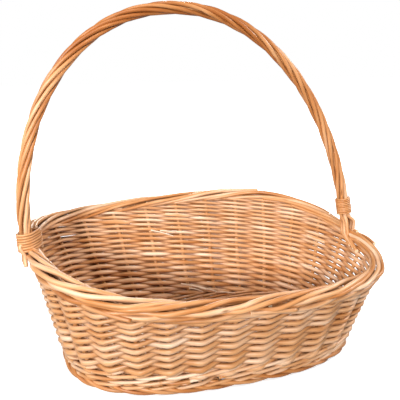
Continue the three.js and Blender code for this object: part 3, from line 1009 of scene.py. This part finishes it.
def archLine():
    # The feet joined by a line, plus a rise that follows a power of the sine of the turn
    turn = np.linspace(0, math.pi, bow["archStations"])
    power = 2 / bow["squareness"]
    along = np.sign(np.cos(turn)) * np.abs(np.cos(turn)) ** power
    rise = np.abs(np.sin(turn)) ** power
    left = rimPoint(bow["left"]["at"], bow["left"]["out"])
    right = rimPoint(bow["right"]["at"], bow["right"]["out"])
    line = left + (right - left) * ((1 - along) / 2)[:, None]
    line[:, 0] += bow["skew"] * rise
    line[:, 1] += bow["lean"] * rise
    line[:, 2] += (bow["topHeight"] - line[:, 2]) * rise
    return line


archPoints = archLine()
archLengths = lengthsAlong(archPoints)
bowLength = archLengths[-1]


def bowFrame(length):
    # Place at a length along the bow, with the directions to its inside and to the back
    spot = np.stack([np.interp(length, archLengths, archPoints[:, i]) for i in range(3)], -1)
    slopes = np.gradient(archPoints, archLengths, axis=0)
    ahead = unit(np.stack([np.interp(length, archLengths, slopes[:, i]) for i in range(3)], -1))
    back = unit(np.array([0.0, 1.0, 0.0]) - ahead[:, 1:2] * ahead)
    return spot, np.cross(back, ahead), back


def tailPath(isRight, side, sideways):
    # A rod's end past the border and down along the wall, inside for side 1, outside for -1
    foot = bow["right"] if isRight else bow["left"]
    radius = bow["rodRadius"]
    narrowed = 1 - rimRoll["pinchNarrowing"] * pinch(foot["at"])
    besideBorder = border["half"][0] * borderScale(foot["at"]) * narrowed + bow["borderGap"] * radius
    tail = foot["insideTail"] if side > 0 else bow["outsideTail"]
    besideSiding = bow["sidingReach"] + radius if tail > bow["shortTail"] else besideBorder
    if side < 0:
        besideBorder = besideBorder - foot["press"]
    besideCore = bow["rodRing"] + bow["coreGap"] - side * foot["out"]
    share = np.array(bow["coreShares"])
    reach = besideBorder * (1 - share) + besideCore * share
    reach[:2] = besideSiding
    heights = np.concatenate([np.array(bow["tailHeights"]) * tail, foot["join"]])
    if tail < bow["shortTail"]:
        reach = reach - wallFlare * np.minimum(heights, 0)
    shift = sideways / outlineLength * stake["count"]
    number = foot["at"] + np.array(bow["spreadShares"]) * shift * (1 if isRight else -1)
    if side > 0:
        number = number - np.array(foot["drift"])
    path = wallPoint(number, rimHeight(stakeAngle(number)) + heights, -side * reach)
    # Over the border the tails follow the handle's lean
    above = np.maximum(heights, 0)
    onBow = bowFrame(bowLength - above if isRight else above)[0]
    path[:, :2] += (onBow - rimPoint(foot["at"], foot["out"]))[:, :2]
    return path


def smoothCurve(points, count):
    # Cubic curve through the points, by length
    length = lengthsAlong(points)
    slope = np.gradient(points, length, axis=0)
    at = np.linspace(0, length[-1], count)
    i = np.clip(np.searchsorted(length, at) - 1, 0, len(points) - 2)
    gap = (length[i + 1] - length[i])[:, None]
    s = (at - length[i])[:, None] / gap
    start = (1 + 2 * s) * (1 - s) ** 2 * points[i] + s * (1 - s) ** 2 * gap * slope[i]
    end = s ** 2 * (3 - 2 * s) * points[i + 1] + s ** 2 * (s - 1) * gap * slope[i + 1]
    return start + end


def outOfBow(path):
    # Direction from the handle's middle line to each point of a rod
    count, tail = bow["curveSteps"], bow["tailSteps"]
    length = np.interp(np.arange(count), [tail, count - tail], [0, bowLength])
    nearest = np.clip(np.searchsorted(archLengths, length), 0, len(archPoints) - 1)
    return unit(path - archPoints[nearest] + 1e-6)


def makeCore():
    length = np.linspace(bow["coreInset"], bowLength - bow["coreInset"], bow["coreSteps"])
    spot, inward, _ = bowFrame(length)
    rods = [rod(spot, bow["coreRadius"], inward)]
    sweepRods("bow_core", rods, handleWillow, ["handle_core"])


def makeBowRod(k):
    steps = bow["turns"] * bow["stepsPerTurn"]
    twistEnd = bowLength - bow["right"]["twistStart"]
    length = np.linspace(bow["left"]["twistStart"], twistEnd, steps)
    spot, inward, back = bowFrame(length)
    phase = 2 * math.pi * k / bow["rodCount"]
    sway = bow["sway"] * np.sin(length * bow["swayPerMetre"] + randomPhase())
    turn = phase + 2 * math.pi * bow["turns"] * np.linspace(0, 1, steps) + sway
    out = around(turn, inward, back)
    middle = spot + out * bow["rodRing"]
    # Three rods come down inside the rim and three outside, side by side
    side = np.sign(math.cos(phase))
    sideways = bow["tailSpread"] * round(math.sin(phase) / math.sin(math.pi / 3))
    left = tailPath(False, side, sideways)
    right = tailPath(True, side, sideways)[::-1]
    points = np.concatenate([left, middle[::bow["keptStep"]], middle[-1:], right])
    path = smoothCurve(points, bow["curveSteps"])
    # Painted shade: the handle's rods are painted darker towards its top
    towardsTop = np.clip((path[:, 2] - bow["topShadeFrom"]) / (bow["topHeight"] - bow["topShadeFrom"]), 0, 1)
    tone = chance.uniform(*bow["tones"]) - bow["topShade"] * towardsTop ** 2
    rods = [rod(path, bow["rodRadius"], outOfBow(path), tone, bow["unevenness"], 1)]
    nodes = [f"handle_rod_{k + 1}"]
    sweepRods(f"bow_rod_{k + 1}", rods, handleWillow, nodes, bow["sides"])


makeCore()
for k in range(bow["rodCount"]):
    makeBowRod(k)
print("handle twisted")

# Binding: one thin split rod wound round each foot of the handle
binding = {
    "left": {"start": 0.004, "turns": 7, "pitch": 0.0037, "radius": 0.0019},
    "right": {"start": 0.033, "turns": 9, "pitch": 0.0029, "radius": 0.0015},
    "stepsPerTurn": 30,
    "toPost": (0.64, 0.77, 0.0),  # direction to the posts inside the border
    "postDistance": 0.020,
    "stretchPower": 0.7,  # under 1 makes the loop round the posts blunt
}


def makeBinding(isRight):
    # Round the handle; at the left foot the turns also take in the posts inside the border
    side = "right" if isRight else "left"
    wound = binding[side]
    turns = wound["turns"]
    share = np.linspace(0, 1, turns * binding["stepsPerTurn"])
    height = wound["start"] + wound["pitch"] * turns * share
    spot, inward, back = bowFrame(bowLength - height if isRight else height)
    turn = 2 * math.pi * turns * share
    out = around(turn, inward, back)
    path = spot + out * (bow["rodRing"] + bow["rodRadius"] + wound["radius"])
    if not isRight:
        toPost = unit(np.array(binding["toPost"]))
        stretch = np.clip(np.sum(out * toPost, 1), 0, 1)[:, None] ** binding["stretchPower"]
        path = path + toPost * stretch * binding["postDistance"]
    rods = [rod(path, wound["radius"], out, facing=1)]
    sweepRods(f"binding_{side}", rods, lashingWillow, [f"lashing_{side}"])


makeBinding(False)
makeBinding(True)
print("bindings wound")

# Floor, light and camera
stage = {
    "floorSize": 12.0,
    "floorColour": "#F4F4F4",
    "floorRoughness": 0.9,
    "floorGlow": 0.5,  # of the paper under the basket; further off it is 1
    "glowEdge": (0.3, 0.9),  # distances between which it rises
    "floorBounce": "#464646",  # what the basket sees, so that its gaps stay dark
    "worldStrength": 0.09,
    "aim": (0.0, 0.0, 0.15),
    "lamps": {  # place, size and power
        "left softbox": ((-2.60, -0.2, 1.55), 0.4, 33),
        "right softbox": ((2.45, -0.3, 1.70), 0.4, 54),
        "front softbox": ((-1.51, -2.42, 0.93), 0.4, 102),
        "back softbox": ((0.90, 2.90, 1.30), 0.4, 35),
        "high softbox": ((-0.45, -1.60, 2.65), 0.4, 28),
    },
}
cameraLook = {
    "place": (-0.3288, -0.9190, 0.473),  # from the origin of the wall's outline
    "target": (0.0, 0.0, 0.2471),
    "lens": 60.7,
    "shift": (-0.0089, -0.0168),
}


def aimAt(made, spot, target):
    made.rotation_mode = "QUATERNION"
    made.rotation_quaternion = (Vector(target) - Vector(spot)).to_track_quat("-Z", "Y")


def whitePaper():
    # White to the camera, with the basket's shadow on it, but dark to the basket
    material = bpy.data.materials.new("white paper sweep")
    material.use_nodes = True
    tree = material.node_tree
    rays = addNode(tree, "ShaderNodeLightPath").outputs
    toBasket, toCamera = linear(stage["floorBounce"]), linear(stage["floorColour"])
    seen = calculated(tree, "MAXIMUM", rays["Is Camera Ray"], rays["Is Glossy Ray"])
    seen = calculated(tree, "MAXIMUM", seen, rays["Is Transmission Ray"])
    # The paper gets lighter away from the basket, so that only its shadow shows
    spot = addNode(tree, "ShaderNodeTexCoord").outputs["Object"]
    away = addNode(tree, "ShaderNodeVectorMath", {"Vector": spot}, operation="LENGTH").outputs["Value"]
    glow = ranged(tree, away, stage["floorGlow"], 1.0, *stage["glowEdge"])
    setInputs(tree, tree.nodes["Principled BSDF"], {
        "Base Color": mixedColour(tree, rays["Is Camera Ray"], toBasket, toCamera),
        "Roughness": stage["floorRoughness"],
        "Emission Color": (1, 1, 1, 1),
        "Emission Strength": calculated(tree, "MULTIPLY", seen, glow),
    })
    return material


def makeFloor():
    half = stage["floorSize"] / 2
    mesh = bpy.data.meshes.new("floor")
    corners = [(-half, -half, 0), (half, -half, 0), (half, half, 0), (-half, half, 0)]
    mesh.from_pydata(corners, [], [(0, 1, 2, 3)])
    mesh.materials.append(whitePaper())
    addObject("floor", mesh)


def makeWorld():
    world = bpy.data.worlds.new("studio")
    world.use_nodes = True
    tree = world.node_tree
    isSeen = addNode(tree, "ShaderNodeLightPath").outputs["Is Camera Ray"]
    strength = ranged(tree, isSeen, stage["worldStrength"], 1.0)
    setInputs(tree, tree.nodes["Background"], {"Color": (1, 1, 1, 1), "Strength": strength})
    bpy.context.scene.world = world


def makeLamp(name, spot, size, power):
    lamp = bpy.data.lights.new(name, "AREA")
    lamp.size = size
    lamp.energy = power
    holder = addObject(name, lamp)
    holder.location = spot
    aimAt(holder, spot, stage["aim"])


def makeCamera():
    lens = bpy.data.cameras.new("camera")
    lens.lens = cameraLook["lens"]
    lens.shift_x, lens.shift_y = cameraLook["shift"]
    camera = addObject("camera", lens)
    camera.location = Vector(cameraLook["place"]) + Vector((originX, originY, 0))
    aimAt(camera, cameraLook["place"], cameraLook["target"])
    bpy.context.scene.camera = camera


makeFloor()
makeWorld()
for lampName, (spot, size, power) in stage["lamps"].items():
    makeLamp(lampName, spot, size, power)
makeCamera()
bpy.context.scene.view_settings.view_transform = "Standard"
print("stage set")
